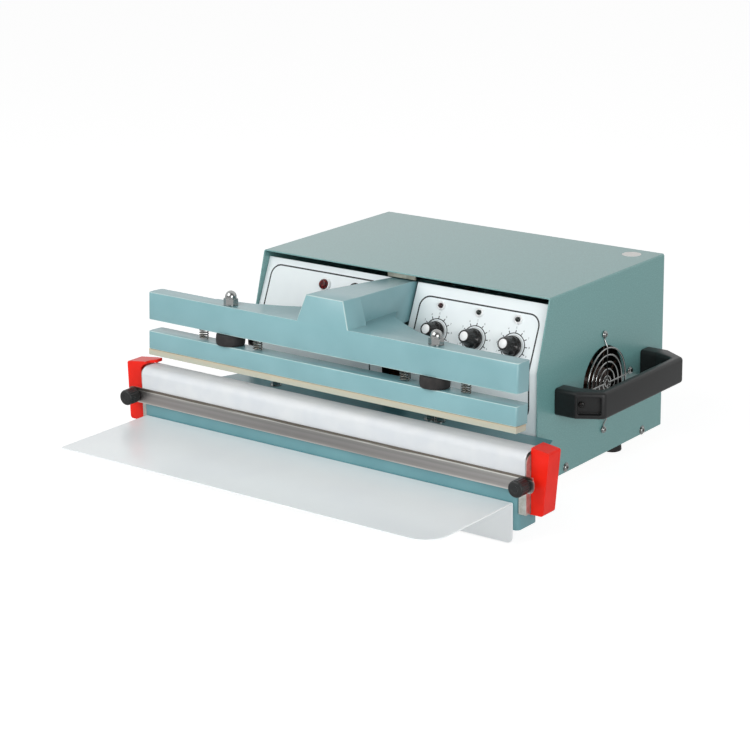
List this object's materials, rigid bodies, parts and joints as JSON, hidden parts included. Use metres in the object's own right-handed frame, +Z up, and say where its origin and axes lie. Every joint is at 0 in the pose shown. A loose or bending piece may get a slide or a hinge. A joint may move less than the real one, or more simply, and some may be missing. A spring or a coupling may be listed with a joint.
{
  "type": "foot switch bag sealer head",
  "caption": "Table-top impulse bag sealer head with a magnet-driven upper jaw, heated lower jaw, work shelf, dials, side fan and carrying handles",
  "frame": {"origin": "on the table under the middle of the object's box", "axes": "+X along the jaws to the fan's side, +Y to the rear of the housing, +Z up; jaws open"},
  "size_m": [0.5291, 0.4858, 0.202],
  "materials": {
    "teal_enamel": "baked hammer-fine teal enamel on cast and folded metal",
    "zinc_plate": "dull zinc plated sheet steel",
    "panel_coat": "pale satin printed sheet",
    "shelf_coat": "pale satin powder coat",
    "stainless": "brushed stainless",
    "terminal_brass": "tinned brass",
    "bright_chrome": "bright chrome plate",
    "spring_steel": "plated spring steel",
    "ptfe_cloth": "smooth coated glass cloth",
    "silicone_rubber": "matt beige silicone rubber",
    "black_rubber": "matt black rubber",
    "black_moulding": "lightly grained black moulding",
    "black_abs": "satin black moulding",
    "red_moulding": "glossy red moulding",
    "white_abs": "white moulding",
    "red_lens": "clear red lens, unlit",
    "circuit_board": "green solder mask",
    "laminated_iron": "varnished laminations",
    "solenoid_iron": "plated iron frame round a copper winding"
  },
  "bodies": {
    "housing": {"cover": "teal_enamel", "lower_jaw": "teal_enamel", "rear_panel": "teal_enamel", "base_plate": "zinc_plate", "slot_bridge": "zinc_plate", "deck_bracket_left": "zinc_plate", "deck_bracket_right": "zinc_plate", "pivot_bracket_left": "zinc_plate", "pivot_bracket_right": "zinc_plate", "front_panel_left": "panel_coat", "front_panel_right": "panel_coat", "work_shelf": "shelf_coat", "clamp_strip": "stainless", "heating_element": "stainless", "terminal_left": "terminal_brass", "terminal_right": "terminal_brass", "fan_guard": "bright_chrome", "foot_socket": "bright_chrome", "pivot_shaft": "spring_steel", "return_spring": "spring_steel", "jaw_cloth": "ptfe_cloth", "insulating_strip": "silicone_rubber", "foot_front_left": "black_rubber", "foot_front_right": "black_rubber", "foot_rear_left": "black_rubber", "foot_rear_right": "black_rubber", "handle_left": "black_moulding", "handle_right": "black_moulding", "power_inlet": "black_abs", "fan_frame": "black_abs", "end_cap_left": "red_moulding", "end_cap_right": "red_moulding", "pilot_bezel": "white_abs", "switch_body": "white_abs", "pilot_lens": "red_lens", "led_left": "red_lens", "led_middle": "red_lens", "led_right": "red_lens", "timer_board": "circuit_board", "transformer": "laminated_iron", "solenoid_body": "solenoid_iron"},
    "arm": {"upper_arm": "teal_enamel", "bush_left": "black_rubber", "bush_right": "black_rubber", "press_spring_left_inner": "spring_steel", "press_spring_left_outer": "spring_steel", "press_spring_right_inner": "spring_steel", "press_spring_right_outer": "spring_steel"},
    "press": {"press_bar": "teal_enamel", "silicone_strip": "silicone_rubber", "stud_left": "bright_chrome", "stud_right": "bright_chrome"},
    "plunger": {"solenoid_plunger": "spring_steel"},
    "button": {"push_button": "black_abs"},
    "dial_left": {"timer_knob_left": "black_abs"},
    "dial_middle": {"timer_knob_middle": "black_abs"},
    "dial_right": {"timer_knob_right": "black_abs"},
    "fan": {"fan_rotor": "black_abs"},
    "clamp_knob_left": {"strip_knob_left": "black_moulding"},
    "clamp_knob_right": {"strip_knob_right": "black_moulding"}
  },
  "joints": [
    {"name": "arm_pivot", "type": "hinge", "parent": "housing", "child": "arm", "pos_m": [0, 0.11625, 0.15], "axis": [1, 0, 0], "range_deg": [0, 3.5], "stiffness_Nm_per_rad": 10, "springref_deg": -34.38, "deforming": ["return_spring"]},
    {"name": "press_bar_float", "type": "slide", "parent": "arm", "child": "press", "axis": [0, 0.061, 0.9981], "range_m": [0, 0.0025], "stiffness_N_per_m": 4000, "springref_m": -0.005, "deforming": ["bush_left", "bush_right", "press_spring_left_inner", "press_spring_left_outer", "press_spring_right_inner", "press_spring_right_outer"]},
    {"name": "plunger_slide", "type": "slide", "parent": "housing", "child": "plunger", "axis": [0, 0, -1], "range_m": [0, 0.003]},
    {"name": "button_press", "type": "slide", "parent": "housing", "child": "button", "axis": [0, 0.9205, -0.3907], "range_m": [0, 0.0025], "stiffness_N_per_m": 300, "springref_m": -0.001},
    {"name": "dial_left_turn", "type": "hinge", "parent": "housing", "child": "dial_left", "pos_m": [0.05155, 0.01196, 0.14933], "axis": [0, -0.9205, 0.3907], "range_deg": [-150, 150]},
    {"name": "dial_middle_turn", "type": "hinge", "parent": "housing", "child": "dial_middle", "pos_m": [0.09805, 0.01196, 0.14933], "axis": [0, -0.9205, 0.3907], "range_deg": [-150, 150]},
    {"name": "dial_right_turn", "type": "hinge", "parent": "housing", "child": "dial_right", "pos_m": [0.14455, 0.01196, 0.14933], "axis": [0, -0.9205, 0.3907], "range_deg": [-150, 150]},
    {"name": "fan_spin", "type": "hinge", "parent": "housing", "child": "fan", "pos_m": [0.1806, 0.12275, 0.091], "axis": [1, 0, 0], "continuous": true},
    {"name": "clamp_knob_left_turn", "type": "hinge", "parent": "housing", "child": "clamp_knob_left", "pos_m": [-0.2445, -0.11665, 0.06425], "axis": [0, -1, 0], "range_deg": [0, 360]},
    {"name": "clamp_knob_right_turn", "type": "hinge", "parent": "housing", "child": "clamp_knob_right", "pos_m": [0.2445, -0.11665, 0.06425], "axis": [0, -1, 0], "range_deg": [0, 360]}
  ],
  "couplings": [
    {"joint": "plunger_slide", "follows": "arm_pivot", "m_per_rad": 0.048}
  ]
}
